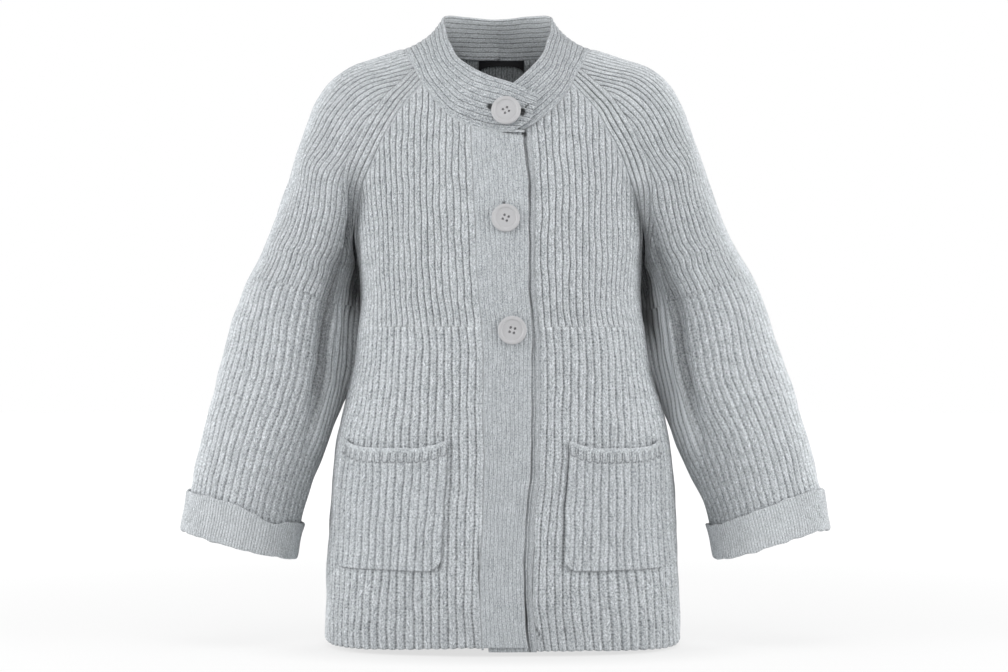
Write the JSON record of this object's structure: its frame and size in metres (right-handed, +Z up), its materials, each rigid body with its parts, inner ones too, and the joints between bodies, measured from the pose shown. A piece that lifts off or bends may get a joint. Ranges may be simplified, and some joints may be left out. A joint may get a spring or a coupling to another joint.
{
  "type": "button cardigan",
  "caption": "Hollow worn form of a chunky ribbed knit cardigan with raglan sleeves, a standing band collar, turned-up cuffs, patch pockets and a button front.",
  "frame": {"origin": "in the middle of the neck, level with the shoulders that carry the garment", "axes": "+Z up, the front faces -Y, and +X points to the wearer's left"},
  "size_m": [0.7097, 0.2775, 0.6907],
  "materials": {
    "marled_wool": "soft chunky rib knit of marled light grey wool",
    "fine_rib_wool": "fine rib knit of the same grey wool",
    "button_grey": "smooth, softly shining light grey",
    "label_black": "plain black woven tape"
  },
  "bodies": {
    "root": {"front_right": "marled_wool", "front_left": "marled_wool", "back": "marled_wool", "sleeve_right": "marled_wool", "sleeve_left": "marled_wool", "cuff_right": "fine_rib_wool", "cuff_left": "fine_rib_wool", "band_right": "fine_rib_wool", "band_left": "fine_rib_wool", "collar": "fine_rib_wool", "pocket_right": "marled_wool", "pocket_left": "marled_wool", "button_top": "button_grey", "button_middle": "button_grey", "button_low": "button_grey", "label": "label_black"}
  },
  "joints": []
}
